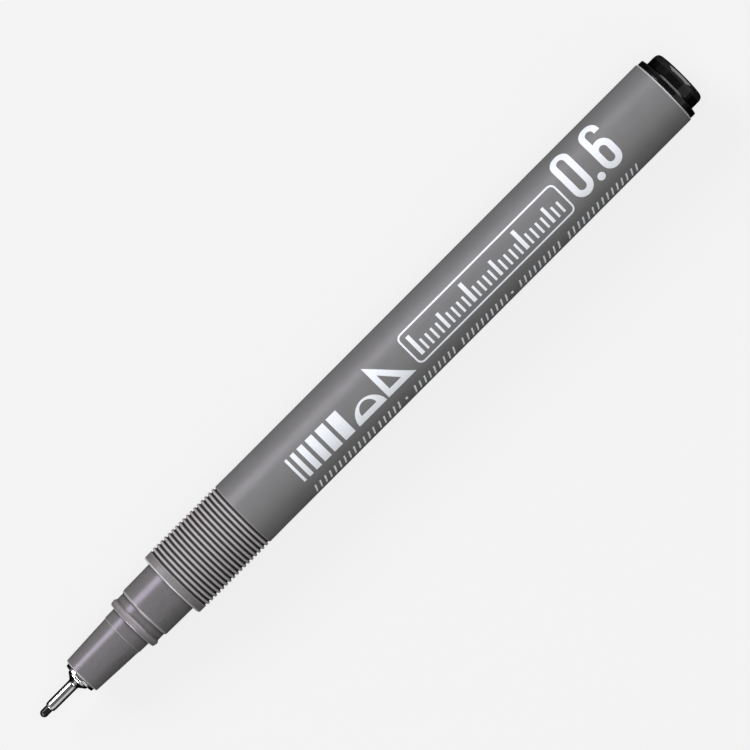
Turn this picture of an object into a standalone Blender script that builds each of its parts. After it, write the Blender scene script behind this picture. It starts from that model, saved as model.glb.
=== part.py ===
"""A fineliner technical pen without its cap, lying along X on the plane z = 0, nib towards -X.

Every piece is turned about one axis. Outlines are (station, radius) points: a station is the
distance from the nib's tip towards the tail. Units are metres.
"""

import math

import bmesh
import bpy
from mathutils import Vector

MM = 0.001

# Overall
LENGTH = 122.9 * MM
PRESS_GAP = 0.1 * MM

# Barrel
MOUTH = 25.15 * MM
BARREL_END = 119.7 * MM
BARREL_RADIUS = 5.25 * MM
MOUTH_EDGE = 0.25 * MM
TAIL_EDGE = 0.2 * MM
BORE_RADIUS = 4.55 * MM
SOCKET_RADIUS = 4.4 * MM
SOCKET_END = 37.0 * MM
STOP_RING_END = 38.2 * MM
STOP_RING_RADIUS = 3.6 * MM

# Grip ribs, turned round the outside of the barrel
RIB_COUNT = 17
RIB_PITCH = 0.7025 * MM
FIRST_CREST = 26.97 * MM
CREST_RADIUS = 5.35 * MM
GROOVE_RADIUS = 5.05 * MM
CREST_WIDTH = 0.24 * MM
RIB_FOOT_WIDTH = 0.5 * MM

# Reservoir ribs, along the inside of the barrel
INNER_RIB_COUNT = 4
INNER_RIB_RADIUS = 4.05 * MM
INNER_RIB_START = 39.5 * MM
INNER_RIB_END = 111.0 * MM
INNER_RIB_LEAD_IN = 0.8 * MM

# Nose section: front tube, snap bead, neck, sealing section, spigot
NOSE_START = 15.6 * MM
NOSE_RADIUS = 3.31 * MM
BEAD_START = 17.45 * MM
BEAD_END = 18.55 * MM
BEAD_RADIUS = 4.17 * MM
NECK_RADIUS = 3.93 * MM
SEAL_START = 19.9 * MM
SEAL_FRONT_RADIUS = 4.15 * MM
SEAL_REAR_RADIUS = 4.23 * MM
SPIGOT_RADIUS = SOCKET_RADIUS - PRESS_GAP
SPIGOT_END = SOCKET_END - PRESS_GAP
WEB_START = 24.2 * MM
WEB_END = 25.4 * MM
NOSE_CHAMBER_RADIUS = 3.5 * MM

# Nib holder: tapered nose and stem
HOLDER_START = 7.78 * MM
HOLDER_FRONT_RADIUS = 2.86 * MM
HOLDER_REAR_RADIUS = 3.22 * MM
HOLDER_EDGE = 0.12 * MM
STEM_RADIUS = 2.5 * MM
STEM_END = 24.0 * MM

# Steel sleeve
SLEEVE_START = 1.63 * MM
SLEEVE_RADIUS = 0.79 * MM
SLEEVE_BORE_RADIUS = 0.65 * MM
SLEEVE_CHAMFER = 0.12 * MM
CONE_START = 6.3 * MM
CONE_END = 6.9 * MM
COLLAR_RADIUS = 1.7 * MM
FLANGE_START = 7.28 * MM
FLANGE_END = 7.7 * MM
FLANGE_RADIUS = 2.42 * MM
FLANGE_EDGE = 0.1 * MM
SLEEVE_STEM_RADIUS = 1.35 * MM
SLEEVE_END = 11.5 * MM

# Nib, feed wick and reservoir
NIB_RADIUS = 0.58 * MM
NIB_END = 16.0 * MM
WICK_START = 13.0 * MM
WICK_END = 44.5 * MM
WICK_RADIUS = 1.15 * MM
WICK_BORE_RADIUS = 0.7 * MM
CORE_START = 38.7 * MM
CORE_END = 112.2 * MM
CORE_RADIUS = 3.62 * MM
WRAP_WALL = 0.2 * MM

# Tail plug
PLUG_FLANGE_START = BARREL_END + PRESS_GAP
PLUG_FLANGE_END = 120.6 * MM
PLUG_FLANGE_RADIUS = 5.1 * MM
KNOB_RADIUS = 4.29 * MM
KNOB_EDGE = 0.85 * MM
KNOB_FOOT = 0.15 * MM
PLUG_SPIGOT_START = 112.8 * MM
PLUG_SPIGOT_RADIUS = BORE_RADIUS - PRESS_GAP
PLUG_BORE_RADIUS = 3.4 * MM
PLUG_BORE_END = 121.6 * MM

# Facets: an even number of sides with a flat underneath, so that the pen rests on flats
SIDES = 32
FINE_SIDES = 24
AXIS_HEIGHT = CREST_RADIUS * math.cos(math.pi / SIDES)
SHARP_ANGLE = math.radians(30)
MERGE_DISTANCE = 1e-7


def arc(centre, radius, start_degrees, end_degrees, steps):
    """Points on a round edge of an outline. 0 degrees points to the tail, 90 away from the axis."""
    station, height = centre
    points = []
    for step in range(steps + 1):
        angle = math.radians(start_degrees + (end_degrees - start_degrees) * step / steps)
        points.append((station + radius * math.cos(angle), height + radius * math.sin(angle)))
    return points


def plastic(name, colour, roughness, metallic=0.0):
    material = bpy.data.materials.new(name)
    material.use_nodes = True
    shader = material.node_tree.nodes["Principled BSDF"]
    shader.inputs["Base Color"].default_value = (*colour, 1.0)
    shader.inputs["Roughness"].default_value = roughness
    shader.inputs["Metallic"].default_value = metallic
    material.diffuse_color = (*colour, 1.0)
    return material


def turned(name, outline, material, parent, sides=SIDES):
    """One closed solid: the outline spun about the pen's axis, which is the parent's X axis."""
    half_side = math.pi / sides
    shape = bmesh.new()
    corners = [
        shape.verts.new((station, -radius * math.sin(half_side), -radius * math.cos(half_side)))
        for station, radius in outline
    ]
    edges = [
        shape.edges.new((corner, following))
        for corner, following in zip(corners, corners[1:] + corners[:1])
        if corner.co.yz.length > 0 or following.co.yz.length > 0
    ]
    bmesh.ops.spin(
        shape,
        geom=corners + edges,
        cent=(0.0, 0.0, 0.0),
        axis=(1.0, 0.0, 0.0),
        angle=math.tau,
        steps=sides,
        use_merge=True,
    )
    bmesh.ops.remove_doubles(shape, verts=shape.verts, dist=MERGE_DISTANCE)
    bmesh.ops.dissolve_degenerate(shape, edges=shape.edges, dist=MERGE_DISTANCE)
    bmesh.ops.recalc_face_normals(shape, faces=shape.faces)
    mesh = bpy.data.meshes.new(name)
    shape.to_mesh(mesh)
    shape.free()
    mesh.materials.append(material)
    mesh.shade_smooth()
    mesh.set_sharp_from_angle(angle=SHARP_ANGLE)
    piece = bpy.data.objects.new(name, mesh)
    piece.parent = parent
    bpy.context.scene.collection.objects.link(piece)
    return piece


def grip_outline():
    """The outside of the ribbed grip, from the first groove to the last."""
    points = [(FIRST_CREST - RIB_PITCH + RIB_FOOT_WIDTH / 2, GROOVE_RADIUS)]
    for number in range(RIB_COUNT):
        crest = FIRST_CREST + number * RIB_PITCH
        points += [
            (crest - RIB_FOOT_WIDTH / 2, GROOVE_RADIUS),
            (crest - CREST_WIDTH / 2, CREST_RADIUS),
            (crest + CREST_WIDTH / 2, CREST_RADIUS),
            (crest + RIB_FOOT_WIDTH / 2, GROOVE_RADIUS),
        ]
    last_crest = FIRST_CREST + (RIB_COUNT - 1) * RIB_PITCH
    points.append((last_crest + RIB_PITCH - RIB_FOOT_WIDTH / 2, GROOVE_RADIUS))
    return points


def barrel_outline():
    outside_front = arc(
        (MOUTH + MOUTH_EDGE, BARREL_RADIUS - MOUTH_EDGE), MOUTH_EDGE, 180, 90, 2
    )
    grip = grip_outline()
    rib_slope = (RIB_FOOT_WIDTH - CREST_WIDTH) / 2
    grip_edges = [
        (grip[0][0] - rib_slope, BARREL_RADIUS),
        (grip[-1][0] + rib_slope, BARREL_RADIUS),
    ]
    outside_rear = arc(
        (BARREL_END - TAIL_EDGE, BARREL_RADIUS - TAIL_EDGE), TAIL_EDGE, 90, 0, 2
    )
    inside = [
        (BARREL_END, BORE_RADIUS),
        (INNER_RIB_END + INNER_RIB_LEAD_IN, BORE_RADIUS),
        (INNER_RIB_END, BORE_RADIUS),
        (INNER_RIB_START, BORE_RADIUS),
        (INNER_RIB_START - INNER_RIB_LEAD_IN, BORE_RADIUS),
        (STOP_RING_END, BORE_RADIUS),
        (STOP_RING_END, STOP_RING_RADIUS),
        (SOCKET_END, STOP_RING_RADIUS),
        (SOCKET_END, SOCKET_RADIUS),
        (MOUTH, SOCKET_RADIUS),
    ]
    return outside_front + grip_edges[:1] + grip + grip_edges[1:] + outside_rear + inside


def raise_inner_ribs(barrel):
    """Draws the bore in along a few facets, which leaves ribs that hold the reservoir off the wall."""
    facets_per_rib = SIDES // INNER_RIB_COUNT
    for vertex in barrel.data.vertices:
        across = vertex.co.yz.length
        in_bore = abs(across - BORE_RADIUS) < MERGE_DISTANCE
        along_ribs = INNER_RIB_START - MERGE_DISTANCE < vertex.co.x < INNER_RIB_END + MERGE_DISTANCE
        turn = math.atan2(vertex.co.z, vertex.co.y) % math.tau
        facet = round(turn / math.tau * SIDES - 0.5)
        if in_bore and along_ribs and facet % facets_per_rib in (0, 1):
            vertex.co.yz = vertex.co.yz * (INNER_RIB_RADIUS / across)


def nose_section_outline():
    bead_centre = (BEAD_START + BEAD_END) / 2
    outside = [
        (NOSE_START, NOSE_RADIUS),
        (BEAD_START, NOSE_RADIUS),
        (BEAD_START, NECK_RADIUS),
        (BEAD_START + PRESS_GAP, BEAD_RADIUS - PRESS_GAP),
        (bead_centre - 2 * PRESS_GAP, BEAD_RADIUS),
        (bead_centre + PRESS_GAP, BEAD_RADIUS),
        (BEAD_END, NECK_RADIUS),
        (SEAL_START, NECK_RADIUS),
        (SEAL_START, SEAL_FRONT_RADIUS),
        (MOUTH - PRESS_GAP, SEAL_REAR_RADIUS),
        (MOUTH, SPIGOT_RADIUS),
        (SPIGOT_END - 4 * PRESS_GAP, SPIGOT_RADIUS),
        (SPIGOT_END, SPIGOT_RADIUS - 2 * PRESS_GAP),
    ]
    inside = [
        (SPIGOT_END, NOSE_CHAMBER_RADIUS),
        (WEB_END, NOSE_CHAMBER_RADIUS),
        (WEB_END, WICK_RADIUS + PRESS_GAP),
        (WEB_START, WICK_RADIUS + PRESS_GAP),
        (WEB_START, STEM_RADIUS + PRESS_GAP),
        (NOSE_START, STEM_RADIUS + PRESS_GAP),
    ]
    return outside + inside


def nib_holder_outline():
    front_edge = arc(
        (HOLDER_START + HOLDER_EDGE, HOLDER_FRONT_RADIUS - HOLDER_EDGE), HOLDER_EDGE, 180, 90, 2
    )
    shoulder = NOSE_START - PRESS_GAP
    stem = [
        (shoulder, HOLDER_REAR_RADIUS),
        (shoulder, STEM_RADIUS),
        (STEM_END, STEM_RADIUS),
    ]
    bore_radius = WICK_RADIUS + PRESS_GAP
    inside = [
        (STEM_END, bore_radius),
        (SLEEVE_END + PRESS_GAP, bore_radius),
        (SLEEVE_END + PRESS_GAP, SLEEVE_STEM_RADIUS + PRESS_GAP),
        (HOLDER_START, SLEEVE_STEM_RADIUS + PRESS_GAP),
    ]
    return front_edge + stem + inside


def tip_sleeve_outline():
    return [
        (SLEEVE_START, SLEEVE_BORE_RADIUS),
        (SLEEVE_START, SLEEVE_RADIUS - SLEEVE_CHAMFER / 2),
        (SLEEVE_START + SLEEVE_CHAMFER, SLEEVE_RADIUS),
        (CONE_START, SLEEVE_RADIUS),
        (CONE_END, COLLAR_RADIUS),
        (FLANGE_START, COLLAR_RADIUS),
        (FLANGE_START, FLANGE_RADIUS - FLANGE_EDGE),
        (FLANGE_START + FLANGE_EDGE, FLANGE_RADIUS),
        (FLANGE_END - FLANGE_EDGE, FLANGE_RADIUS),
        (FLANGE_END, FLANGE_RADIUS - FLANGE_EDGE),
        (FLANGE_END, SLEEVE_STEM_RADIUS),
        (SLEEVE_END, SLEEVE_STEM_RADIUS),
        (SLEEVE_END, SLEEVE_BORE_RADIUS),
    ]


def nib_outline():
    return arc((NIB_RADIUS, 0.0), NIB_RADIUS, 180, 90, 4) + [(NIB_END, NIB_RADIUS), (NIB_END, 0.0)]


def feed_wick_outline():
    socket_end = NIB_END + 2 * PRESS_GAP
    return [
        (WICK_START, WICK_BORE_RADIUS),
        (WICK_START, WICK_RADIUS),
        (WICK_END - WICK_RADIUS, WICK_RADIUS),
        (WICK_END, WICK_RADIUS / 2),
        (WICK_END, 0.0),
        (socket_end, 0.0),
        (socket_end, WICK_BORE_RADIUS),
    ]


def reservoir_core_outline():
    socket_radius = WICK_RADIUS + PRESS_GAP
    socket_end = WICK_END + 5 * PRESS_GAP
    return [
        (CORE_START, socket_radius),
        (CORE_START, CORE_RADIUS),
        (CORE_END, CORE_RADIUS),
        (CORE_END, 0.0),
        (socket_end, 0.0),
        (socket_end, socket_radius),
    ]


def reservoir_wrap_outline():
    inner = CORE_RADIUS + PRESS_GAP
    start, end = CORE_START - PRESS_GAP, CORE_END + PRESS_GAP
    return [(start, inner), (start, inner + WRAP_WALL), (end, inner + WRAP_WALL), (end, inner)]


def tail_plug_outline():
    spigot = [
        (PLUG_SPIGOT_START, PLUG_BORE_RADIUS),
        (PLUG_SPIGOT_START, PLUG_SPIGOT_RADIUS - 3 * PRESS_GAP),
        (PLUG_SPIGOT_START + 5 * PRESS_GAP, PLUG_SPIGOT_RADIUS),
        (PLUG_FLANGE_START, PLUG_SPIGOT_RADIUS),
    ]
    flange = [
        (PLUG_FLANGE_START, PLUG_FLANGE_RADIUS),
        (PLUG_FLANGE_END - PRESS_GAP, PLUG_FLANGE_RADIUS),
        (PLUG_FLANGE_END, PLUG_FLANGE_RADIUS - PRESS_GAP),
    ]
    foot = arc(
        (PLUG_FLANGE_END + KNOB_FOOT, KNOB_RADIUS + KNOB_FOOT), KNOB_FOOT, 180, 270, 2
    )
    knob_edge = arc((LENGTH - KNOB_EDGE, KNOB_RADIUS - KNOB_EDGE), KNOB_EDGE, 90, 0, 4)
    inside = [(LENGTH, 0.0), (PLUG_BORE_END, 0.0), (PLUG_BORE_END, PLUG_BORE_RADIUS)]
    return spigot + flange + foot + knob_edge + inside


def build():
    for old in list(bpy.data.objects):
        bpy.data.objects.remove(old, do_unlink=True)

    axis = bpy.data.objects.new("pen_axis", None)
    axis.location = Vector((-LENGTH / 2, 0.0, AXIS_HEIGHT))
    bpy.context.scene.collection.objects.link(axis)
    parents = {"barrel": axis}
    for body in ("front_unit", "tail_unit"):
        parents[body] = bpy.data.objects.new(f"{body}_slide", None)
        parents[body].parent = axis
        bpy.context.scene.collection.objects.link(parents[body])

    barrel_grey = plastic("barrel_grey", (0.19, 0.182, 0.18), 0.5)
    nose_grey = plastic("nose_grey", (0.17, 0.162, 0.162), 0.32)
    steel = plastic("polished_steel", (0.72, 0.72, 0.71), 0.16, metallic=1.0)
    nib_black = plastic("nib_black", (0.012, 0.012, 0.014), 0.45)
    plug_black = plastic("plug_black", (0.008, 0.008, 0.009), 0.2)
    wick_fibre = plastic("wick_fibre", (0.05, 0.05, 0.06), 0.9)
    inked_fibre = plastic("inked_fibre", (0.02, 0.02, 0.026), 0.95)
    clear_film = plastic("wrap_film", (0.6, 0.62, 0.64), 0.25)

    barrel = turned("barrel", barrel_outline(), barrel_grey, parents["barrel"])
    raise_inner_ribs(barrel)
    turned("reservoir_core", reservoir_core_outline(), inked_fibre, parents["barrel"], FINE_SIDES)
    turned("reservoir_wrap", reservoir_wrap_outline(), clear_film, parents["barrel"], FINE_SIDES)

    turned("nose_section", nose_section_outline(), nose_grey, parents["front_unit"])
    turned("nib_holder", nib_holder_outline(), nose_grey, parents["front_unit"])
    turned("tip_sleeve", tip_sleeve_outline(), steel, parents["front_unit"], FINE_SIDES)
    turned("nib", nib_outline(), nib_black, parents["front_unit"], FINE_SIDES)
    turned("feed_wick", feed_wick_outline(), wick_fibre, parents["front_unit"], FINE_SIDES)

    turned("tail_plug", tail_plug_outline(), plug_black, parents["tail_unit"])


build()
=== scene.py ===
"""Looks of an uncapped fineliner technical pen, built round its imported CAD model.

The pen lies along X on the floor, nib towards -X. Every plastic and steel piece is turned again
with fine edges, and gets a procedural material. Outlines are (station, radius, edge) points in
millimetres: a station is the distance from the nib's tip, and an edge is the size of a round corner.
"""

import math

import bmesh
import bpy
from mathutils import Matrix, Vector


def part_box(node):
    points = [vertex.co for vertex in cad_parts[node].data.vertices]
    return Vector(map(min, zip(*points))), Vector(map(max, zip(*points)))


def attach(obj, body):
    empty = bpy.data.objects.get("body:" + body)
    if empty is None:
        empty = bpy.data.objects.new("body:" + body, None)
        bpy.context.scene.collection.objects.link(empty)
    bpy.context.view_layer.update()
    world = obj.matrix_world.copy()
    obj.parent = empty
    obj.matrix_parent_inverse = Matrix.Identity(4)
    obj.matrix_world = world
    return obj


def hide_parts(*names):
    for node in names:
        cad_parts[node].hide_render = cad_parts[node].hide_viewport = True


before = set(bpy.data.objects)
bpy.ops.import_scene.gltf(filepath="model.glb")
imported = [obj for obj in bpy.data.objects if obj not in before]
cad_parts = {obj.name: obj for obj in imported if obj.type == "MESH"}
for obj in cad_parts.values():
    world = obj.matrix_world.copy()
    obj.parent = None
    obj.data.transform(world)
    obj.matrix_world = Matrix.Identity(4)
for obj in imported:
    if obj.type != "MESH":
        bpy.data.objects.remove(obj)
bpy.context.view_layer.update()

MM = 0.001
CAD_SIDES = 32
FINE_CAD_SIDES = 24
SIDES = 160
FINE_SIDES = 96
CORNER_STEPS = 5
CORNER_ROOM = 0.48
# Spreads beside each corner: outward corners get a painted highlight that also stands for rubbed wear,
# inward corners get painted shade.
RUB_AND_HIGHLIGHT_SPREAD = ((0.05, 0.0), (0.12, 0.0))
CORNER_SHADE_SPREAD = ((0.06, 0.6), (0.34, 0.0))
FULL_WEAR_AND_SHADING_TURN = math.radians(75)
SHARP_ANGLE = math.radians(40)


# ---------------------------------------------------------------- stations and radii


def station_span(node):
    """First and last station of a CAD node, in millimetres."""
    low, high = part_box(node)
    return (low.x - TIP_X) / MM, (high.x - TIP_X) / MM


def cad_radius(node, sides=CAD_SIDES):
    """Corner radius of a CAD node's widest ring, in millimetres. Its box is measured over flats."""
    low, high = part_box(node)
    return (high.y - low.y) / 2 / math.cos(math.pi / sides) / MM


TIP_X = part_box("nib")[0].x
AXIS_Z = (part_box("barrel")[0].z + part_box("barrel")[1].z) / 2
MOUTH, BARREL_END = station_span("barrel")
NOSE_START, SPIGOT_END = station_span("nose_section")
HOLDER_START, STEM_END = station_span("nib_holder")
SLEEVE_START, SLEEVE_END = station_span("tip_sleeve")
NIB_END = station_span("nib")[1]
WICK_START, WICK_END = station_span("feed_wick")
CORE_START, CORE_END = station_span("reservoir_core")
WRAP_START, WRAP_END = station_span("reservoir_wrap")
PLUG_START, PEN_LENGTH = station_span("tail_plug")
CREST_RADIUS = cad_radius("barrel")
BARREL_RADIUS = CREST_RADIUS - 0.1
GROOVE_RADIUS = 5.05
RIB_COUNT = 17
RIB_PITCH = 0.7025
FIRST_CREST = 26.97
LAST_CREST = FIRST_CREST + (RIB_COUNT - 1) * RIB_PITCH
GRIP_START = FIRST_CREST - 0.75 * RIB_PITCH
GRIP_END = LAST_CREST + 0.75 * RIB_PITCH
BEAD_START, BEAD_END = 17.45, 18.55


# ---------------------------------------------------------------- turned pieces


def rounded(outline, closed=True):
    """The outline with its corners drawn as short curves. Points are (station, radius[, edge]).

    The points it returns are (station, radius, shading): shading is 0 along straight stretches, up to 1
    on outward corners, which get a painted highlight that also stands for rubbed wear, and down to -1
    in inward corners, which get painted shade. Extra points beside each corner keep its shading from
    spreading, or let it fade out: each pair of a spread is a distance beyond the corner's curve and
    the share of the shading left there."""
    points = []
    count = len(outline)
    for number, corner in enumerate(outline):
        here = Vector(corner[:2])
        edge = corner[2] if len(corner) > 2 else 0.0
        if edge == 0.0 or (not closed and number in (0, count - 1)):
            points.append((*here, 0.0))
            continue
        before = Vector(outline[number - 1][:2]) - here
        after = Vector(outline[(number + 1) % count][:2]) - here
        turn = before.cross(after)
        wear_and_shading = math.copysign(min(1.0, (math.pi - before.angle(after)) / FULL_WEAR_AND_SHADING_TURN), turn)
        room_before = before.length * CORNER_ROOM
        room_after = after.length * CORNER_ROOM
        start = here + before.normalized() * min(edge, room_before)
        end = here + after.normalized() * min(edge, room_after)
        spread = RUB_AND_HIGHLIGHT_SPREAD if wear_and_shading > 0 else CORNER_SHADE_SPREAD
        for beyond, share in reversed(spread):
            if edge + beyond < room_before:
                points.append((*(here + before.normalized() * (edge + beyond)), share * wear_and_shading))
        for step in range(CORNER_STEPS + 1):
            t = step / CORNER_STEPS
            points.append((*((1 - t) ** 2 * start + 2 * t * (1 - t) * here + t**2 * end), wear_and_shading))
        for beyond, share in spread:
            if edge + beyond < room_after:
                points.append((*(here + after.normalized() * (edge + beyond)), share * wear_and_shading))
    return points


def place(piece, body, node=None):
    """Puts the piece on its body, and hides the CAD node it stands in for."""
    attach(piece, body)
    if node:
        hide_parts(node)
    return piece


def new_piece(name, shape, material):
    mesh = bpy.data.meshes.new(name)
    shape.to_mesh(mesh)
    shape.free()
    mesh.materials.append(material)
    mesh.shade_smooth()
    mesh.set_sharp_from_angle(angle=SHARP_ANGLE)
    piece = bpy.data.objects.new(name, mesh)
    bpy.context.scene.collection.objects.link(piece)
    return piece


def turned(name, outline, material, sides=SIDES, reshape=None):
    """One closed body: the outline spun about the pen's axis. reshape may move its vertices first.

    The outline's corner values become a mesh attribute: a painted highlight on outward corners, partly
    rubbed wear, and painted shade in inward ones."""
    shape = bmesh.new()
    wear_and_shading_layer = shape.verts.layers.float.new("wear_and_shading")
    corners = []
    for station, radius, *wear_and_shading in outline:
        corner = shape.verts.new((TIP_X + station * MM, 0.0, -radius * MM))
        corner[wear_and_shading_layer] = wear_and_shading[0] if wear_and_shading else 0.0
        corners.append(corner)
    edges = [
        shape.edges.new((corner, following))
        for corner, following in zip(corners, corners[1:] + corners[:1])
        if abs(corner.co.z) > 0 or abs(following.co.z) > 0
    ]
    bmesh.ops.spin(
        shape,
        geom=corners + edges,
        cent=(0.0, 0.0, 0.0),
        axis=(1.0, 0.0, 0.0),
        angle=math.tau,
        steps=sides,
        use_merge=True,
    )
    bmesh.ops.remove_doubles(shape, verts=shape.verts, dist=1e-7)
    bmesh.ops.dissolve_degenerate(shape, edges=shape.edges, dist=1e-7)
    bmesh.ops.recalc_face_normals(shape, faces=shape.faces)
    if reshape:
        reshape(shape)
    bmesh.ops.translate(shape, verts=shape.verts, vec=(0.0, 0.0, AXIS_Z))
    return new_piece(name, shape, material)


# ---------------------------------------------------------------- materials


class Nodes:
    """Short ways to add and join shader nodes."""

    def __init__(self, name):
        self.material = bpy.data.materials.new(name)
        self.material.use_nodes = True
        self.tree = self.material.node_tree
        self.shader = self.tree.nodes["Principled BSDF"]

    def add(self, kind, **settings):
        node = self.tree.nodes.new(kind)
        for key, value in settings.items():
            setattr(node, key, value)
        return node

    def link(self, source, target):
        self.tree.links.new(source, target)

    def feed(self, socket, value):
        """Links a node's output to one of the shader's sockets, or sets the socket to a constant."""
        target = self.shader.inputs[socket]
        if isinstance(value, bpy.types.NodeSocket):
            self.link(value, target)
        else:
            target.default_value = value

    def millimetres(self, stretch=(1.0, 1.0, 1.0)):
        """The piece's own coordinates in millimetres, stretched."""
        coordinates = self.add("ShaderNodeTexCoord")
        mapping = self.add("ShaderNodeMapping")
        mapping.inputs["Scale"].default_value = [1000.0 * share for share in stretch]
        self.link(coordinates.outputs["Object"], mapping.inputs["Vector"])
        return mapping.outputs["Vector"]

    def noise(self, per_mm, detail=3.0, stretch=(1.0, 1.0, 1.0), distortion=0.0):
        node = self.add("ShaderNodeTexNoise")
        node.inputs["Scale"].default_value = per_mm
        node.inputs["Detail"].default_value = detail
        node.inputs["Distortion"].default_value = distortion
        self.link(self.millimetres(stretch), node.inputs["Vector"])
        return node.outputs["Fac"]

    def span(self, value, low, high, from_low=0.3, from_high=0.7):
        """value, taken from one range to another."""
        node = self.add("ShaderNodeMapRange")
        node.inputs["From Min"].default_value = from_low
        node.inputs["From Max"].default_value = from_high
        node.inputs["To Min"].default_value = low
        node.inputs["To Max"].default_value = high
        self.link(value, node.inputs["Value"])
        return node.outputs["Result"]

    def blend(self, factor, first, second):
        """A colour between two, by a value from 0 to 1."""
        node = self.add("ShaderNodeMix", data_type="RGBA")
        colours = [socket for socket in node.inputs if socket.type == "RGBA"]
        for socket, colour in zip(colours, (first, second)):
            if isinstance(colour, tuple):
                socket.default_value = (*colour, 1.0)
            else:
                self.link(colour, socket)
        self.link(factor, node.inputs[0])
        return next(socket for socket in node.outputs if socket.type == "RGBA")

    def combine(self, operation, first, second):
        node = self.add("ShaderNodeMath", operation=operation)
        for socket, value in zip(node.inputs, (first, second)):
            if isinstance(value, float):
                socket.default_value = value
            else:
                self.link(value, socket)
        return node.outputs[0]

    def bump(self, height, depth_mm, strength=1.0, over=None):
        node = self.add("ShaderNodeBump")
        node.inputs["Strength"].default_value = strength
        node.inputs["Distance"].default_value = depth_mm * MM
        self.link(height, node.inputs["Height"])
        if over is not None:
            self.link(over, node.inputs["Normal"])
        return node.outputs["Normal"]

    def distance_from_axis(self):
        """In millimetres."""
        coordinates = self.add("ShaderNodeTexCoord")
        mapping = self.add("ShaderNodeMapping")
        mapping.inputs["Location"].default_value = (0.0, 0.0, -AXIS_Z / MM)
        mapping.inputs["Scale"].default_value = (0.0, 1 / MM, 1 / MM)
        self.link(coordinates.outputs["Object"], mapping.inputs["Vector"])
        length = self.add("ShaderNodeVectorMath", operation="LENGTH")
        self.link(mapping.outputs["Vector"], length.inputs[0])
        return length.outputs["Value"]

    def between_stations(self, start, end):
        """1 between two stations, and 0 outside them."""
        split = self.add("ShaderNodeSeparateXYZ")
        self.link(self.millimetres(), split.inputs[0])
        along = split.outputs["X"]
        first, last = TIP_X / MM + start, TIP_X / MM + end
        rising = self.span(along, 0.0, 1.0, first - 0.02, first + 0.02)
        falling = self.span(along, 1.0, 0.0, last - 0.02, last + 0.02)
        return self.combine("MULTIPLY", rising, falling)

    def wear_and_shading(self):
        """The mesh's corner values, broken up by a fine noise: 1 on outward corners, a painted
        highlight that is partly rubbed wear, and -1 in inward ones, painted shade.
        """
        corners = self.add("ShaderNodeAttribute", attribute_name="wear_and_shading").outputs["Fac"]
        return self.combine("MULTIPLY", corners, self.span(self.noise(1.6, 3.0), 0.8, 1.1))

    def worn_and_shaded(self, body, rubbed_and_highlit, painted_shade):
        """body, with its outward corners painted paler, a painted highlight that is partly rubbed wear,
        and its inward ones painted darker, painted shade.
        """
        wear_and_shading = self.wear_and_shading()
        body = self.blend(self.span(wear_and_shading, 0.0, 1.0, 0.0, 1.0), body, rubbed_and_highlit)
        return self.blend(self.span(wear_and_shading, 1.0, 0.0, -1.0, 0.0), body, painted_shade)


def shade(colour, share):
    return tuple(part * share for part in colour)


BARREL_TONE = (0.167, 0.166, 0.166)
NOSE_TONE = (0.162, 0.158, 0.156)
# Crest tone: crest tops painted paler, a painted highlight that partly stands for rubbing by fingers.
CREST_TONE = (0.448, 0.418, 0.418)
# Groove tone: painted shade in the grip's grooves.
GROOVE_TONE = shade(BARREL_TONE, 0.12)
DUST_TONE = (0.27, 0.235, 0.23)


def dusty(nodes, body, start, end):
    """Fine warm specks of dust and scuffing between two stations."""
    specks = nodes.span(nodes.noise(4.0, 3.0), 0.0, 0.65, 0.42, 0.62)
    cover = nodes.combine("MULTIPLY", nodes.between_stations(start, end), specks)
    return nodes.blend(cover, body, DUST_TONE)


def worn_bead(nodes, body):
    """The bead that the cap snaps over: scuffed all round."""
    return dusty(nodes, body, BEAD_START, BEAD_END)


def grip_dust_and_shading(nodes, body):
    """The grip: a scuffed collar with dust specks, painted shade in the grooves, and crests painted
    paler as a painted highlight, partly standing for rubbing by fingers.
    """
    body = dusty(nodes, body, MOUTH + 0.2, GRIP_START)
    grip = nodes.between_stations(GRIP_START, GRIP_END)
    away = nodes.distance_from_axis()
    depth = nodes.span(away, 1.0, 0.0, GROOVE_RADIUS + 0.04, BARREL_RADIUS)
    crest = nodes.span(away, 0.0, 1.0, BARREL_RADIUS - 0.02, CREST_RADIUS - 0.02)
    # Painted shade: the colour darkens towards the groove tone deeper in the grooves.
    painted_shade = nodes.blend(nodes.combine("MULTIPLY", grip, depth), body, GROOVE_TONE)
    # Painted highlight: the crests' tops turn paler towards the crest tone, partly standing for
    # rubbing.
    return nodes.blend(nodes.combine("MULTIPLY", grip, crest), painted_shade, CREST_TONE)


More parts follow.
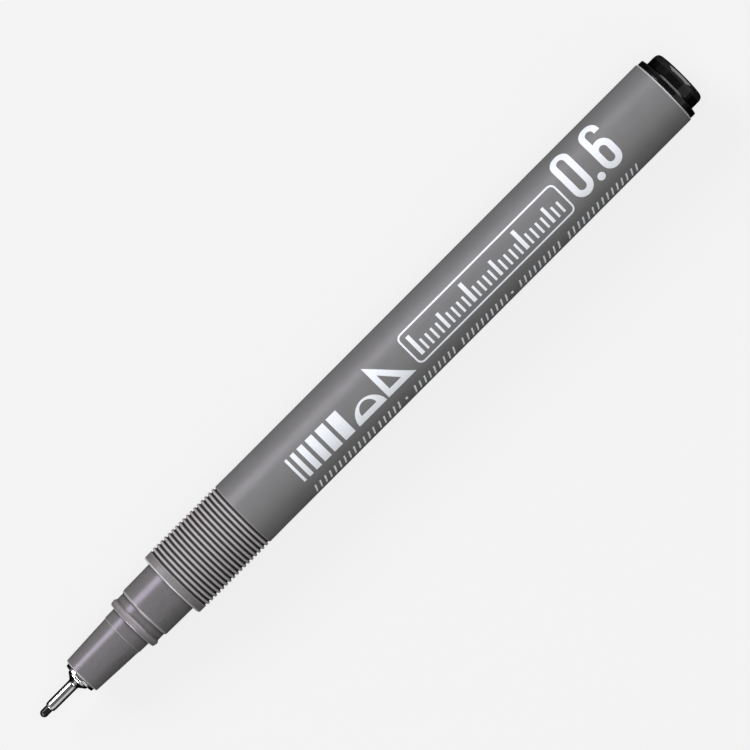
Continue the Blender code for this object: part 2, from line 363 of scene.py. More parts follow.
def moulded_plastic(name, colour, roughness, grain_mm, edge_lift, sheen, relief, matt):
    """Injection-moulded plastic: faint flow mottle, fine grain, handling scuffs, outward edges painted
    paler as a painted highlight that also stands for rubbing, and painted shade in inward corners.

    relief adds the look of a worked area: dust, and on the grip also painted shade in the grooves and a
    painted highlight on the crests; matt is (start, end, extra roughness) of that area."""
    nodes = Nodes(name)
    mottle = nodes.span(nodes.noise(0.35, 4.0), 0.0, 1.0)
    speck = nodes.span(nodes.noise(9.0, 2.0), 0.0, 1.0, 0.25, 0.75)
    body = nodes.blend(mottle, shade(colour, 0.96), shade(colour, 1.04))
    body = nodes.blend(nodes.combine("MULTIPLY", speck, 0.16), body, shade(colour, 1.04))
    # Painted highlight on outward corners, partly rubbed wear, and painted shade in inward corners.
    body = nodes.worn_and_shaded(body, shade(colour, edge_lift), shade(colour, 0.35))
    nodes.feed("Base Color", relief(nodes, body))
    scuffs = nodes.noise(1.2, 5.0, stretch=(0.7, 1.4, 1.4), distortion=0.4)
    rough = nodes.span(scuffs, roughness - 0.02, roughness + 0.03)
    start, end, extra = matt
    dulled = nodes.combine("MULTIPLY", nodes.between_stations(start, end), extra)
    nodes.feed("Roughness", nodes.combine("ADD", rough, dulled))
    grain = nodes.bump(nodes.noise(14.0, 3.0), grain_mm, 0.35)
    flow = nodes.noise(0.5, 2.0, stretch=(0.6, 1.0, 1.0))
    nodes.feed("Normal", nodes.bump(flow, 0.006, 0.3, over=grain))
    nodes.feed("IOR", 1.49)
    nodes.feed("Specular Tint", (*sheen, 1.0))
    return nodes.material


def turned_steel(name):
    """Polished steel: fine turning rings, a faint haze of fingerprints, painted shade in the inner
    corners and outward edges painted paler as a painted highlight, partly rubbed polish.
    """
    nodes = Nodes(name)
    haze = nodes.span(nodes.noise(0.8, 4.0), 0.0, 1.0)
    tone = nodes.blend(haze, (0.80, 0.79, 0.78), (0.68, 0.68, 0.685))
    # Painted highlight on outward edges, partly rubbed polish, and painted shade in inner corners.
    nodes.feed("Base Color", nodes.worn_and_shaded(tone, (0.86, 0.86, 0.86), (0.14, 0.14, 0.14)))
    nodes.feed("Metallic", 1.0)
    rings = nodes.noise(6.0, 3.0, stretch=(3.0, 0.15, 0.15))
    nodes.feed("Roughness", nodes.span(rings, 0.12, 0.20))
    nodes.feed("Normal", nodes.bump(rings, 0.001, 0.4))
    return nodes.material


def glossy_black(name):
    """Glossy black plastic with hairline scratches, its edges painted a little paler, a painted
    highlight that is partly dust, and painted shade in its hollows.
    """
    nodes = Nodes(name)
    mottle = nodes.span(nodes.noise(0.7, 3.0), 0.0, 1.0)
    tone = nodes.blend(mottle, (0.002, 0.002, 0.0022), (0.0045, 0.0045, 0.005))
    # Painted highlight on edges, partly dust, and painted shade in the hollows.
    nodes.feed("Base Color", nodes.worn_and_shaded(tone, (0.016, 0.016, 0.017), (0.001, 0.001, 0.001)))
    scratches = nodes.noise(2.5, 6.0, stretch=(0.2, 2.0, 2.0), distortion=1.2)
    nodes.feed("Roughness", nodes.span(scratches, 0.07, 0.13))
    nodes.feed("Normal", nodes.bump(nodes.noise(5.0, 2.0), 0.002, 0.4))
    nodes.feed("IOR", 1.4)
    return nodes.material


def inked_rod(name, colour, roughness, strands_per_mm):
    """A rod of drawn plastic or bonded fibre: fine strands along the axis, stained by ink."""
    nodes = Nodes(name)
    strands = nodes.noise(strands_per_mm, 3.0, stretch=(0.08, 1.0, 1.0))
    paler = tuple(part * 2.2 + 0.004 for part in colour)
    nodes.feed("Base Color", nodes.blend(nodes.span(strands, 0.0, 1.0), colour, paler))
    blots = nodes.noise(1.2, 4.0)
    nodes.feed("Roughness", nodes.span(blots, roughness - 0.08, roughness + 0.06))
    nodes.feed("Normal", nodes.bump(strands, 0.02, 0.6))
    nodes.feed("IOR", 1.38)
    return nodes.material


def clear_film(name):
    """Thin plastic film over an inked core: greyed by what is under it, with long wrinkles."""
    nodes = Nodes(name)
    stain = nodes.span(nodes.noise(0.25, 4.0, stretch=(0.3, 1.0, 1.0)), 0.0, 1.0)
    nodes.feed("Base Color", nodes.blend(stain, (0.42, 0.44, 0.46), (0.16, 0.17, 0.19)))
    wrinkles = nodes.noise(1.1, 3.0, stretch=(0.12, 1.0, 1.0), distortion=0.5)
    nodes.feed("Roughness", nodes.span(wrinkles, 0.18, 0.34))
    nodes.feed("Normal", nodes.bump(wrinkles, 0.03, 0.5))
    return nodes.material


def printing_ink(name):
    """White pad-printed ink, with a faint blue cast and slightly uneven cover."""
    nodes = Nodes(name)
    cover = nodes.span(nodes.noise(4.5, 5.0), 0.0, 1.0, 0.35, 0.65)
    nodes.feed("Base Color", nodes.blend(cover, (0.86, 0.90, 0.95), (0.92, 0.95, 0.98)))
    nodes.feed("Roughness", nodes.span(nodes.noise(7.0), 0.34, 0.5))
    nodes.feed("Normal", nodes.bump(nodes.noise(12.0, 2.0), 0.002, 0.3))
    return nodes.material


barrel_grey = moulded_plastic(
    "barrel_grey",
    BARREL_TONE,
    roughness=0.43,
    grain_mm=0.006,
    edge_lift=3.3,
    sheen=(0.97, 0.95, 1.0),
    relief=grip_dust_and_shading,
    matt=(GRIP_START, GRIP_END, 0.28),
)
nose_grey = moulded_plastic(
    "nose_grey",
    NOSE_TONE,
    roughness=0.28,
    grain_mm=0.003,
    edge_lift=2.9,
    sheen=(0.9, 0.8, 1.0),
    relief=worn_bead,
    matt=(BEAD_START + 0.25, BEAD_END, 0.16),
)
steel = turned_steel("polished_steel")
plug_black = glossy_black("plug_black")
nib_black = inked_rod("nib_black", (0.002, 0.002, 0.003), roughness=0.32, strands_per_mm=5.0)
wick_fibre = inked_rod("wick_fibre", (0.02, 0.02, 0.025), roughness=0.8, strands_per_mm=6.0)
core_fibre = inked_rod("inked_fibre", (0.012, 0.012, 0.016), roughness=0.85, strands_per_mm=4.0)
wrap_film = clear_film("wrap_film")
white_ink = printing_ink("white_ink")


# ---------------------------------------------------------------- barrel

# (offset from the groove's middle, share of its depth that is left)
GROOVE_POINTS = (
    (-0.23, 1.0),
    (-0.19, 0.84),
    (-0.15, 0.40),
    (-0.12, 0.10),
    (-0.07, 0.0),
    (0.07, 0.0),
    (0.12, 0.10),
    (0.15, 0.40),
    (0.19, 0.84),
    (0.23, 1.0),
)
# Share of the painted corner highlight, partly rubbed wear, on the grip's first and last shoulders.
SHOULDER_WEAR_AND_SHADING = 0.6
BORE_RADIUS = 4.55
SOCKET_RADIUS = 4.4
SOCKET_END = SPIGOT_END + 0.1
STOP_RING_END = SOCKET_END + 1.2
STOP_RING_RADIUS = 3.6
INNER_RIB_COUNT = 4
INNER_RIB_HALF_WIDTH = 0.55
INNER_RIB_RADIUS = 4.04
INNER_RIB_START = CORE_START + 0.8
INNER_RIB_END = CORE_END - 1.2
INNER_RIB_FADE = 0.8


def grip_outline():
    """Grooves cut between rounded crests. The crests' tops swell a little between the grooves."""
    points = []
    for number in range(RIB_COUNT + 1):
        groove = FIRST_CREST + (number - 0.5) * RIB_PITCH
        for offset, share in GROOVE_POINTS:
            first = number == 0 and offset < 0
            last = number == RIB_COUNT and offset > 0
            top = BARREL_RADIUS + 0.02 if first or last else CREST_RADIUS - 0.03
            wear_and_shading = SHOULDER_WEAR_AND_SHADING if (first or last) and share == 1.0 else 0.0
            points.append((groove + offset, GROOVE_RADIUS + share * (top - GROOVE_RADIUS), wear_and_shading))
        if number < RIB_COUNT:
            points.append((groove + RIB_PITCH / 2, CREST_RADIUS))
    return points


def barrel_outline():
    front = [
        (MOUTH, SOCKET_RADIUS + 0.04, 0.05),
        (MOUTH, BARREL_RADIUS, 0.2),
        (FIRST_CREST - RIB_PITCH - 0.1, BARREL_RADIUS + 0.01),
        (FIRST_CREST - RIB_PITCH, BARREL_RADIUS + 0.015),
    ]
    rear = [
        (LAST_CREST + RIB_PITCH, BARREL_RADIUS + 0.02),
        (LAST_CREST + RIB_PITCH + 0.1, BARREL_RADIUS + 0.02),
        (LAST_CREST + 4.0, BARREL_RADIUS),
        (BARREL_END - 0.5, BARREL_RADIUS),
        (BARREL_END, BARREL_RADIUS - 0.01, 0.18),
        (BARREL_END, BORE_RADIUS, 0.08),
        (INNER_RIB_END + INNER_RIB_FADE, BORE_RADIUS),
        (INNER_RIB_END, BORE_RADIUS),
        (INNER_RIB_START, BORE_RADIUS),
        (INNER_RIB_START - INNER_RIB_FADE, BORE_RADIUS),
        (STOP_RING_END, BORE_RADIUS, 0.1),
        (STOP_RING_END, STOP_RING_RADIUS, 0.1),
        (SOCKET_END, STOP_RING_RADIUS, 0.1),
        (SOCKET_END, SOCKET_RADIUS, 0.05),
        (MOUTH + 0.3, SOCKET_RADIUS),
    ]
    return rounded(front) + grip_outline() + rounded(rear, closed=False)


def raise_inner_ribs(shape):
    """Ridges along the bore that hold the reservoir off the wall."""
    for vertex in shape.verts:
        across = vertex.co.yz.length / MM
        station = (vertex.co.x - TIP_X) / MM
        on_bore = abs(across - BORE_RADIUS) <= 0.001
        if not on_bore or not INNER_RIB_START - 0.01 < station < INNER_RIB_END + 0.01:
            continue
        turn = math.atan2(vertex.co.z, vertex.co.y) / math.tau * INNER_RIB_COUNT
        offset = abs(turn - round(turn)) / INNER_RIB_COUNT * math.tau * BORE_RADIUS
        lift = 0.5 + 0.5 * math.cos(math.pi * min(offset / INNER_RIB_HALF_WIDTH, 1.0))
        vertex.co.yz = vertex.co.yz * (1 - lift * (BORE_RADIUS - INNER_RIB_RADIUS) / BORE_RADIUS)


barrel_shell = turned("barrel_shell", barrel_outline(), barrel_grey, reshape=raise_inner_ribs)
place(barrel_shell, "barrel", "barrel")


# ---------------------------------------------------------------- front unit

SEAL_START = 19.88
SPIGOT_RADIUS = SOCKET_RADIUS - 0.03
SPIGOT_BORE_RADIUS = 3.5
SPIGOT_BORE_START = SPIGOT_END - 11.5
HOLDER_FACE_RADIUS = 2.86
HOLDER_STEM_RADIUS = 2.5
HOLDER_SOCKET_RADIUS = HOLDER_STEM_RADIUS + 0.06
HOLDER_SOCKET_END = STEM_END + 0.2
WICK_RADIUS = cad_radius("feed_wick", FINE_CAD_SIDES)
WICK_BORE_RADIUS = WICK_RADIUS + 0.08
NIB_RADIUS = cad_radius("nib", FINE_CAD_SIDES)
SLEEVE_BORE_RADIUS = 0.62
SLEEVE_STEM_RADIUS = 1.35
SLEEVE_SOCKET_RADIUS = SLEEVE_STEM_RADIUS + 0.04
SLEEVE_SOCKET_END = SLEEVE_END + 0.1
TUBE_RADIUS = 0.79
CONE_START, CONE_END = 6.25, 6.85
COLLAR_START = 6.95
COLLAR_RADIUS = 1.70
FLANGE_START, FLANGE_END = 7.28, 7.7
FLANGE_RADIUS = 2.42


def nose_section_outline():
    return rounded([
        (NOSE_START, HOLDER_SOCKET_RADIUS),
        (NOSE_START, 3.31, 0.05),
        (BEAD_START, 3.345, 0.08),
        (BEAD_START + 0.02, 4.03, 0.12),
        (BEAD_START + 0.55, 4.16, 0.12),
        (BEAD_START + 0.7, 4.17, 0.05),
        (BEAD_START + 0.85, 4.12, 0.06),
        (BEAD_START + 0.97, 4.04, 0.06),
        (BEAD_START + 1.1, 3.93, 0.08),
        (SEAL_START - 0.18, 3.92, 0.08),
        (SEAL_START, 4.15, 0.2),
        (MOUTH - 0.1, 4.23, 0.04),
        (MOUTH + 0.15, SPIGOT_RADIUS, 0.05),
        (SPIGOT_END - 0.5, SPIGOT_RADIUS, 0.1),
        (SPIGOT_END, SPIGOT_RADIUS - 0.25, 0.1),
        (SPIGOT_END, SPIGOT_BORE_RADIUS, 0.1),
        (SPIGOT_BORE_START, SPIGOT_BORE_RADIUS, 0.3),
        (SPIGOT_BORE_START, WICK_BORE_RADIUS),
        (HOLDER_SOCKET_END, WICK_BORE_RADIUS),
        (HOLDER_SOCKET_END, HOLDER_SOCKET_RADIUS),
    ])


def nib_holder_outline():
    shoulder = NOSE_START - 0.02
    return rounded([
        (HOLDER_START, SLEEVE_SOCKET_RADIUS),
        (HOLDER_START, HOLDER_FACE_RADIUS, 0.14),
        (shoulder, 3.23),
        (shoulder, HOLDER_STEM_RADIUS, 0.03),
        (STEM_END, HOLDER_STEM_RADIUS, 0.1),
        (STEM_END, WICK_BORE_RADIUS),
        (SLEEVE_SOCKET_END, WICK_BORE_RADIUS),
        (SLEEVE_SOCKET_END, SLEEVE_SOCKET_RADIUS),
    ])


def tip_sleeve_outline():
    return rounded([
        (SLEEVE_START, SLEEVE_BORE_RADIUS, 0.02),
        (SLEEVE_START, TUBE_RADIUS - 0.08, 0.04),
        (SLEEVE_START + 0.4, TUBE_RADIUS, 0.2),
        (CONE_START, TUBE_RADIUS + 0.01, 0.25),
        (CONE_END, COLLAR_RADIUS - 0.1, 0.15),
        (COLLAR_START, COLLAR_RADIUS - 0.02, 0.08),
        (FLANGE_START, COLLAR_RADIUS, 0.06),
        (FLANGE_START, FLANGE_RADIUS, 0.08),
        (FLANGE_END, FLANGE_RADIUS, 0.08),
        (FLANGE_END, SLEEVE_STEM_RADIUS, 0.05),
        (SLEEVE_END, SLEEVE_STEM_RADIUS, 0.1),
        (SLEEVE_END, SLEEVE_BORE_RADIUS),
    ])


def nib_outline(steps=12):
    """A rod with a round tip."""
    turns = [math.pi / 2 * step / steps for step in range(steps + 1)]
    dome = [(NIB_RADIUS - NIB_RADIUS * math.cos(turn), NIB_RADIUS * math.sin(turn)) for turn in turns]
    return dome + [(NIB_END, NIB_RADIUS), (NIB_END, 0.0)]


def feed_wick_outline():
    cup_radius = 0.66
    return rounded([
        (WICK_START, cup_radius),
        (WICK_START, WICK_RADIUS, 0.1),
        (WICK_END - 1.3, WICK_RADIUS, 0.3),
        (WICK_END, 0.5, 0.3),
        (WICK_END, 0.0),
        (NIB_END + 0.2, 0.0),
        (NIB_END + 0.2, cup_radius),
    ])


nose_section_fine = turned("nose_section_fine", nose_section_outline(), nose_grey)
place(nose_section_fine, "front_unit", "nose_section")
nib_holder_fine = turned("nib_holder_fine", nib_holder_outline(), nose_grey)
place(nib_holder_fine, "front_unit", "nib_holder")
tip_sleeve_fine = turned("tip_sleeve_fine", tip_sleeve_outline(), steel, FINE_SIDES)
place(tip_sleeve_fine, "front_unit", "tip_sleeve")
nib_rod = turned("nib_rod", nib_outline(), nib_black, FINE_SIDES)
place(nib_rod, "front_unit", "nib")
feed_wick_rod = turned("feed_wick_rod", feed_wick_outline(), wick_fibre, FINE_SIDES)
place(feed_wick_rod, "front_unit", "feed_wick")


# ---------------------------------------------------------------- reservoir

CORE_RADIUS = cad_radius("reservoir_core", FINE_CAD_SIDES)
WRAP_RADIUS = cad_radius("reservoir_wrap", FINE_CAD_SIDES)


def reservoir_core_outline():
    socket_radius = WICK_RADIUS + 0.05
    socket_end = WICK_END + 0.5
    return rounded([
        (CORE_START, socket_radius, 0.1),
        (CORE_START, CORE_RADIUS, 0.25),
        (CORE_END, CORE_RADIUS, 0.25),
        (CORE_END, 0.0),
        (socket_end, 0.0),
        (socket_end, socket_radius),
    ])


def reservoir_wrap_outline():
    inner_radius = CORE_RADIUS + 0.03
    return [
        (WRAP_START, inner_radius),
        (WRAP_START, WRAP_RADIUS),
        (WRAP_END, WRAP_RADIUS),
        (WRAP_END, inner_radius),
    ]


reservoir_fibre = turned("reservoir_fibre", reservoir_core_outline(), core_fibre, FINE_SIDES)
place(reservoir_fibre, "barrel", "reservoir_core")
reservoir_film = turned("reservoir_film", reservoir_wrap_outline(), wrap_film, FINE_SIDES)
place(reservoir_film, "barrel", "reservoir_wrap")


# ---------------------------------------------------------------- tail plug

PLUG_FLANGE_START = BARREL_END + 0.04
PLUG_FLANGE_END = 120.6
PLUG_FLANGE_RADIUS = 5.1
PLUG_SPIGOT_RADIUS = BORE_RADIUS - 0.04
PLUG_BORE_RADIUS = 3.4
PLUG_BORE_END = 121.6
KNOB_RADIUS = 4.29
DIMPLE_RADIUS = 2.6
DIMPLE_DEPTH = 0.12


def tail_plug_outline():
    return rounded([
        (PLUG_START, PLUG_BORE_RADIUS, 0.05),
        (PLUG_START, PLUG_SPIGOT_RADIUS - 0.3, 0.1),
        (PLUG_START + 0.5, PLUG_SPIGOT_RADIUS, 0.2),
        (PLUG_FLANGE_START, PLUG_SPIGOT_RADIUS),
        (PLUG_FLANGE_START, PLUG_FLANGE_RADIUS, 0.08),
        (PLUG_FLANGE_END, PLUG_FLANGE_RADIUS, 0.13),
        (PLUG_FLANGE_END, KNOB_RADIUS, 0.3),
        (PEN_LENGTH, KNOB_RADIUS, 0.95),
        (PEN_LENGTH, DIMPLE_RADIUS, 0.3),
        (PEN_LENGTH - DIMPLE_DEPTH, DIMPLE_RADIUS - 0.3, 0.2),
        (PEN_LENGTH - DIMPLE_DEPTH, 0.0),
        (PLUG_BORE_END, 0.0),
        (PLUG_BORE_END, PLUG_BORE_RADIUS, 0.4),
    ])


tail_plug_fine = turned("tail_plug_fine", tail_plug_outline(), plug_black)
place(tail_plug_fine, "tail_plug", "tail_plug")


# ---------------------------------------------------------------- printing on the barrel
# Flat shapes are loops of (along, up) points in millimetres: along is a station, and up is the
# distance round the barrel from its top line towards +Y.

INK_THICKNESS = 0.03
INK_STEP = 0.22


def arc_points(centre, radius, start_degrees, end_degrees, steps=12):
    along, up = centre
    turns = [
        math.radians(start_degrees + (end_degrees - start_degrees) * step / steps)
        for step in range(steps + 1)
    ]
    return [(along + radius * math.cos(turn), up + radius * math.sin(turn)) for turn in turns]


def box_loop(left, right, low, high, corner=0.0):
    """A rectangle, with round corners if corner isn't 0."""
    if corner == 0.0:
        return [(left, low), (right, low), (right, high), (left, high)]
    return (
        arc_points((right - corner, low + corner), corner, -90, 0)
        + arc_points((right - corner, high - corner), corner, 0, 90)
        + arc_points((left + corner, high - corner), corner, 90, 180)
        + arc_points((left + corner, low + corner), corner, 180, 270)
    )


def ring_loops(left, right, low, high, corner, line):
    """A line round a rectangle with round corners: its outer and its inner edge."""
    outer = box_loop(left, right, low, high, corner)
    inner = box_loop(left + line, right - line, low + line, high - line, corner - line)
    return [outer, inner]


def filled(loops):
    """A flat mesh that fills the loops; a loop inside another is a hole."""
    curve = bpy.data.curves.new("ink_outline", "CURVE")
    curve.dimensions = "2D"
    curve.fill_mode = "FRONT"
    for loop in loops:
        spline = curve.splines.new("POLY")
        spline.points.add(len(loop) - 1)
        for point, (along, up) in zip(spline.points, loop):
            point.co = (along, up, 0.0, 1.0)
        spline.use_cyclic_u = True
    drawn = bpy.data.objects.new("ink_outline", curve)
    bpy.context.scene.collection.objects.link(drawn)
    bpy.context.view_layer.update()
    mesh = bpy.data.meshes.new_from_object(drawn)
    shape = bmesh.new()
    shape.from_mesh(mesh)
    bpy.data.objects.remove(drawn)
    bpy.data.curves.remove(curve)
    bpy.data.meshes.remove(mesh)
    return shape


def cut_across(shape):
    """Cuts a flat mesh into strips along the barrel, so that it can bend round it."""
    lowest = min(vertex.co.y for vertex in shape.verts)
    highest = max(vertex.co.y for vertex in shape.verts)
    cuts = int((highest - lowest) / INK_STEP)
    for number in range(1, cuts + 1):
        bmesh.ops.bisect_plane(
            shape,
            geom=shape.verts[:] + shape.edges[:] + shape.faces[:],
            plane_co=(0.0, lowest + number * INK_STEP, 0.0),
            plane_no=(0.0, 1.0, 0.0),
            dist=1e-5,
        )
    bmesh.ops.recalc_face_normals(shape, faces=shape.faces)
    if sum(face.normal.z for face in shape.faces) < 0:
        bmesh.ops.reverse_faces(shape, faces=shape.faces)


def thicken(shape):
    """Gives a flat mesh a second side and walls between them. Returns the upper side's vertices."""
    under = shape.faces[:]
    grown = bmesh.ops.extrude_face_region(shape, geom=under)
    raised = {item for item in grown["geom"] if isinstance(item, bmesh.types.BMVert)}
    bmesh.ops.delete(shape, geom=[face for face in under if face.is_valid], context="FACES")
    upper_sides = [face.verts[:] for face in shape.faces if raised.issuperset(face.verts)]
    partner = {}
    for vertex in raised:
        for edge in vertex.link_edges:
            other = edge.other_vert(vertex)
            if other not in raised:
                partner[vertex] = other
    for corners in upper_sides:
        below = []
        for vertex in corners:
            if vertex not in partner:
                partner[vertex] = shape.verts.new(vertex.co)
            below.append(partner[vertex])
        shape.faces.new(reversed(below))
    return raised


def printed(name, loops):
    """White ink on the barrel: the loops filled, thickened and bent round the barrel."""
    shape = filled(loops)
    bmesh.ops.remove_doubles(shape, verts=shape.verts, dist=1e-4)
    cut_across(shape)
    raised = thicken(shape)
    upper_radius = BARREL_RADIUS + INK_THICKNESS * 0.6
    lower_radius = BARREL_RADIUS - INK_THICKNESS * 0.4
    for vertex in shape.verts:
        along, up = vertex.co.x, vertex.co.y
        radius = (upper_radius if vertex in raised else lower_radius) * MM
        turn = up / BARREL_RADIUS
        vertex.co = (TIP_X + along * MM, radius * math.sin(turn), AXIS_Z + radius * math.cos(turn))
    bmesh.ops.recalc_face_normals(shape, faces=shape.faces)
    return place(new_piece(name, shape, white_ink), "barrel")


DIGIT_WIDTH = 3.25
DIGIT_STROKE = 0.98
DIGIT_LOW, DIGIT_HIGH = -2.7, 4.8
ZERO_LEFT = 101.05
POINT_MIDDLE = (105.42, DIGIT_LOW + 0.57)
POINT_RADIUS = 0.6
SIX_LEFT = 106.5
SIX_BOWL_SHARE = 0.61
SIX_TERMINAL_SHARE = 0.74


def zero_loops(left):
    return ring_loops(
        left, left + DIGIT_WIDTH, DIGIT_LOW, DIGIT_HIGH, DIGIT_WIDTH / 2, DIGIT_STROKE
    )


def six_loops(left):
    """A closed bowl below, a stem on the left, and a hook that ends at the terminal's height."""
    half = DIGIT_WIDTH / 2
    right = left + DIGIT_WIDTH
    middle = left + half
    bowl_top = DIGIT_LOW + SIX_BOWL_SHARE * (DIGIT_HIGH - DIGIT_LOW)
    terminal = DIGIT_LOW + SIX_TERMINAL_SHARE * (DIGIT_HIGH - DIGIT_LOW)
    stem_turn = math.degrees(math.acos((DIGIT_STROKE - half) / half))
    outer = (
        arc_points((middle, DIGIT_HIGH - half), half, 0, 180)
        + arc_points((middle, DIGIT_LOW + half), half, 180, 360)
        + arc_points((middle, bowl_top - half), half, 0, stem_turn)
        + arc_points((middle, DIGIT_HIGH - half), half - DIGIT_STROKE, 180, 0)
        + [(right - DIGIT_STROKE, terminal), (right, terminal)]
    )
    inner = ring_loops(left, right, DIGIT_LOW, bowl_top, half, DIGIT_STROKE)[1]
    return [outer, inner]


def line_width_loops():
    """The line width in millimetres, in plain digits."""
    point = arc_points(POINT_MIDDLE, POINT_RADIUS, 0, 345, 23)
    return zero_loops(ZERO_LEFT) + [point] + six_loops(SIX_LEFT)


FRAME_LEFT, FRAME_RIGHT = 70.2, 100.0
FRAME_LOW, FRAME_HIGH = -3.0, 2.25
FRAME_LINE = 0.27
FRAME_CORNER = 0.95


def frame_loops():
    """The rounded frame line."""
    return ring_loops(FRAME_LEFT, FRAME_RIGHT, FRAME_LOW, FRAME_HIGH, FRAME_CORNER, FRAME_LINE)


TICK_COUNT = 28
FIRST_TICK = FRAME_LEFT + 1.4
TICK_LOW, TICK_HIGH = -2.0, 1.3
# (every so many ticks, width, share of the full height)
TICK_KINDS = ((10, 0.62, 1.0), (5, 0.5, 0.8), (1, 0.36, 0.55))


def scale_loops():
    """A ruler scale inside the frame: long, middle and short ticks, one millimetre apart."""
    loops = []
    for number in range(TICK_COUNT):
        tick = FIRST_TICK + number
        width, reach = next(kind[1:] for kind in TICK_KINDS if number % kind[0] == 0)
        top = TICK_LOW + reach * (TICK_HIGH - TICK_LOW)
        loops.append(box_loop(tick - width / 2, tick + width / 2, TICK_LOW, top))
    return loops


SIGNS_LEFT, SIGNS_RIGHT = 48.0, 69.3
SIGNS_LOW, SIGNS_HIGH = -3.0, 2.65
SIGN_STROKE = 0.9
BAR_COUNT = 6
BAR_HEIGHT = 4.1
BAR_GAP = 0.6
FIRST_BAR_WIDTH = 0.42
BAR_GROWTH = 0.28
PROTRACTOR_RADIUS = 2.6
SET_SQUARE_WIDTH = 5.2


def sign_loops():
    """Plain drafting signs: bars of growing line width, a protractor and a set square."""
    loops = []
    left = SIGNS_LEFT
    for number in range(BAR_COUNT):
        width = FIRST_BAR_WIDTH + BAR_GROWTH * number
        loops.append(box_loop(left, left + width, SIGNS_LOW, SIGNS_LOW + BAR_HEIGHT))
        left += width + BAR_GAP
    middle = left + 0.2 + PROTRACTOR_RADIUS
    window_radius = PROTRACTOR_RADIUS - 1.35 * SIGN_STROKE
    window_low = SIGNS_LOW + SIGN_STROKE
    loops.append(arc_points((middle, SIGNS_LOW), PROTRACTOR_RADIUS, 0, 180, 36))
    loops.append(arc_points((middle, window_low), window_radius, 0, 180, 30))
    left = SIGNS_RIGHT - SET_SQUARE_WIDTH
    loops.append([(left, SIGNS_HIGH), (left, SIGNS_LOW), (SIGNS_RIGHT, SIGNS_LOW)])
    loops.append([
        (left + SIGN_STROKE, SIGNS_HIGH - 2.2),
        (left + SIGN_STROKE, window_low),
        (SIGNS_RIGHT - 2.1, window_low),
    ])
    return loops


HATCH_GROUPS = ((48.1, 59.3), (60.3, 64.2), (67.1, 75.2), (76.2, 84.5), (87.2, 95.4), (96.5, 109.8))
HATCH_DOTS = (65.7, 85.9)
HATCH_DOT_HALF_LENGTH, HATCH_DOT_HALF_HEIGHT = 0.2, 0.3
HATCH_PITCH = 0.92
HATCH_LOW, HATCH_HIGH = -6.55, -4.75
HATCH_STROKE = 0.27
HATCH_SLANT = 0.4


def hatch_loops():
    """Groups of slanted hatching strokes, parted by dots, low on the barrel's side."""
    loops = []
    for left, right in HATCH_GROUPS:
        count = int((right - left) / HATCH_PITCH)
        for number in range(count + 1):
            foot = left + number * HATCH_PITCH
            loops.append([
                (foot, HATCH_LOW),
                (foot + HATCH_STROKE, HATCH_LOW),
                (foot + HATCH_STROKE + HATCH_SLANT, HATCH_HIGH),
                (foot + HATCH_SLANT, HATCH_HIGH),
            ])
    middle = (HATCH_LOW + HATCH_HIGH) / 2
    for dot in HATCH_DOTS:
        left, right = dot - HATCH_DOT_HALF_LENGTH, dot + HATCH_DOT_HALF_LENGTH
        low, high = middle - HATCH_DOT_HALF_HEIGHT, middle + HATCH_DOT_HALF_HEIGHT
        loops.append(box_loop(left, right, low, high))
    return loops


printed("print_signs", sign_loops())
printed("print_frame", frame_loops())
printed("print_scale", scale_loops())
printed("print_line_width", line_width_loops())
printed("print_hatching", hatch_loops())


# ---------------------------------------------------------------- floor and backdrop

FLOOR_RADIUS = 3.0
FLOOR_GLOW = 0.805
FLOOR_TONE = 0.1
BOUNCE_GLOW = 0.18
BACKDROP_GLOW = 0.9
BOUNCE_HEIGHT = -0.002


def stage_material(name, glow, tone):
    """A pale sheet that is partly lit from behind, so that shadows on it stay soft."""
    nodes = Nodes(name)
    nodes.feed("Base Color", (tone, tone, tone, 1.0))
    nodes.feed("Roughness", 0.9)
    nodes.feed("Specular IOR Level", 0.0)
    nodes.feed("Emission Color", (1.0, 1.0, 1.0, 1.0))
    nodes.feed("Emission Strength", glow)
    return nodes.material


def disc(name, height, material):
    shape = bmesh.new()
    bmesh.ops.create_circle(shape, cap_ends=True, radius=FLOOR_RADIUS, segments=96)
    bmesh.ops.translate(shape, verts=shape.verts, vec=(0.0, 0.0, height))
    return new_piece(name, shape, material)


def make_stage():
    """A pale floor and backdrop for the camera only, and a dim card that lights the pen from below."""
    floor = disc("floor", 0.0, stage_material("floor_sheet", FLOOR_GLOW, FLOOR_TONE))
    bounce = disc("bounce_card", BOUNCE_HEIGHT, stage_material("bounce_sheet", BOUNCE_GLOW, 0.0))
    dome_shape = bmesh.new()
    bmesh.ops.create_uvsphere(dome_shape, u_segments=64, v_segments=32, radius=FLOOR_RADIUS)
    lower = [vertex for vertex in dome_shape.verts if vertex.co.z < -0.01]
    bmesh.ops.delete(dome_shape, geom=lower, context="VERTS")
    dome = new_piece("backdrop", dome_shape, stage_material("backdrop_sheet", BACKDROP_GLOW, 0.0))
    for sheet in (floor, dome):
        sheet.visible_diffuse = False
        sheet.visible_shadow = False
    for sheet in (floor, dome, bounce):
        sheet.visible_glossy = False
    bounce.visible_camera = False
    bounce.visible_shadow = False


make_stage()


# ---------------------------------------------------------------- light

ROOM_TONE = 0.13


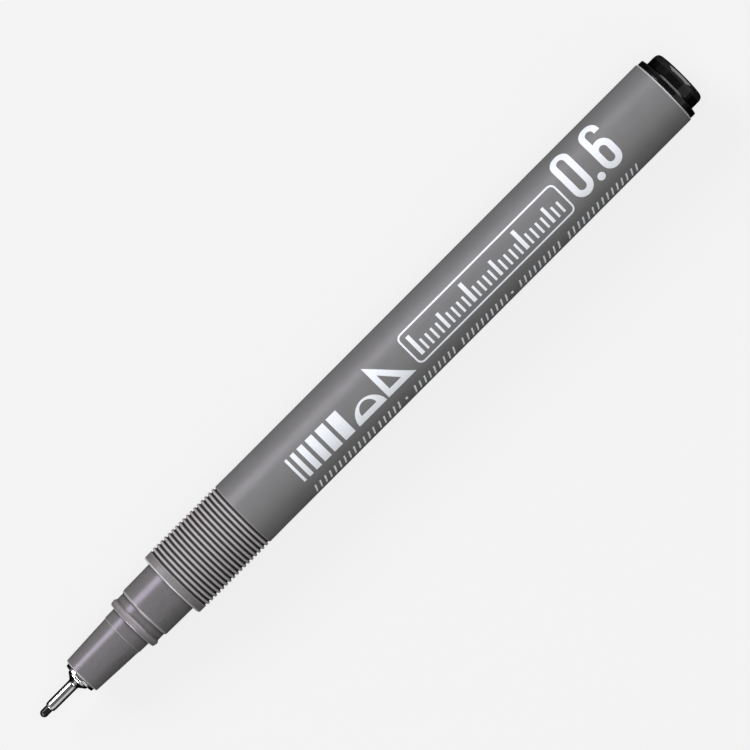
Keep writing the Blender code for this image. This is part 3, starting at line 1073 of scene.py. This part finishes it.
def softbox(name, place_at, size, power, aim_at=(0.0, 0.0, 0.0), colour=(1.0, 1.0, 1.0), show="all"):
    """A soft lamp. show says whether it lights surfaces ("body"), shines in them ("gloss") or both."""
    lamp = bpy.data.lights.new(name, "AREA")
    lamp.shape = "RECTANGLE"
    lamp.size, lamp.size_y = size
    lamp.energy = power
    lamp.color = colour
    box = bpy.data.objects.new(name, lamp)
    box.location = place_at
    box.rotation_mode = "QUATERNION"
    box.rotation_quaternion = (Vector(aim_at) - Vector(place_at)).to_track_quat("-Z", "Y")
    box.visible_glossy = show != "body"
    box.visible_diffuse = show != "gloss"
    bpy.context.scene.collection.objects.link(box)


def make_room():
    """Dim light from every side above the floor."""
    world = bpy.data.worlds.new("studio")
    world.use_nodes = True
    tree = world.node_tree
    coordinates = tree.nodes.new("ShaderNodeTexCoord")
    split = tree.nodes.new("ShaderNodeSeparateXYZ")
    above = tree.nodes.new("ShaderNodeMapRange")
    above.inputs["From Min"].default_value = -0.05
    above.inputs["From Max"].default_value = 0.05
    above.inputs["To Max"].default_value = ROOM_TONE
    tree.links.new(coordinates.outputs["Generated"], split.inputs[0])
    tree.links.new(split.outputs["Z"], above.inputs["Value"])
    background = tree.nodes["Background"]
    background.inputs["Color"].default_value = (1.0, 1.0, 1.0, 1.0)
    tree.links.new(above.outputs["Result"], background.inputs["Strength"])
    bpy.context.scene.world = world


def make_lights():
    make_room()
    softbox(
        "key_softbox", (-0.15, 0.72, 0.55), (0.42, 0.4), 5.3,
        aim_at=(-0.02, 0.0, 0.0), colour=(0.97, 0.95, 1.0),
    )
    softbox("fill_softbox", (0.0, -0.78, 0.62), (1.2, 0.8), 1.7)
    softbox("top_softbox", (0.0, -0.09, 1.0), (0.9, 0.6), 4.5, show="body")
    softbox("side_card", (0.0, 0.95, 0.2), (1.0, 0.25), 1.2, show="body")
    softbox("nib_end_card", (-0.55, 0.0, 0.43), (0.5, 0.3), 6.5, show="gloss")
    softbox(
        "tail_end_card", (0.635, 0.0, 0.339), (1.05, 0.72), 14.5,
        aim_at=(0.06, 0.0, 0.0), show="gloss",
    )
    softbox(
        "tip_card", (-0.095, 0.0, 0.0006), (0.008, 0.075), 0.003,
        aim_at=(-0.095, 0.0, 1.0), show="gloss",
    )


make_lights()


# ---------------------------------------------------------------- camera

PICTURE_WIDTH_MM = 101.8
CAMERA_DISTANCE = 0.71
ROLL = math.radians(45.072)
AIM_STATION = 64.84
AIM_ACROSS = 0.63 * MM
FOOT_STATION = 72.75
SENSOR_MM = 36.0


def make_camera():
    """Looks straight down on the pen, turned so that the pen runs from lower left to upper right."""
    aim = Vector((TIP_X + AIM_STATION * MM, AIM_ACROSS, AXIS_Z))
    eye = Vector((TIP_X + FOOT_STATION * MM, AIM_ACROSS, AXIS_Z + CAMERA_DISTANCE))
    back = (eye - aim).normalized()
    right = Vector((math.cos(ROLL), -math.sin(ROLL), 0.0))
    right = (right - right.dot(back) * back).normalized()
    up = back.cross(right)
    data = bpy.data.cameras.new("camera")
    data.sensor_width = SENSOR_MM
    data.lens = SENSOR_MM * (eye - aim).length / (PICTURE_WIDTH_MM * MM)
    camera = bpy.data.objects.new("camera", data)
    turn = Matrix((right, up, back)).transposed().to_4x4()
    camera.matrix_world = Matrix.Translation(eye) @ turn
    bpy.context.scene.collection.objects.link(camera)
    bpy.context.scene.camera = camera
    bpy.context.scene.view_settings.view_transform = "Standard"


make_camera()
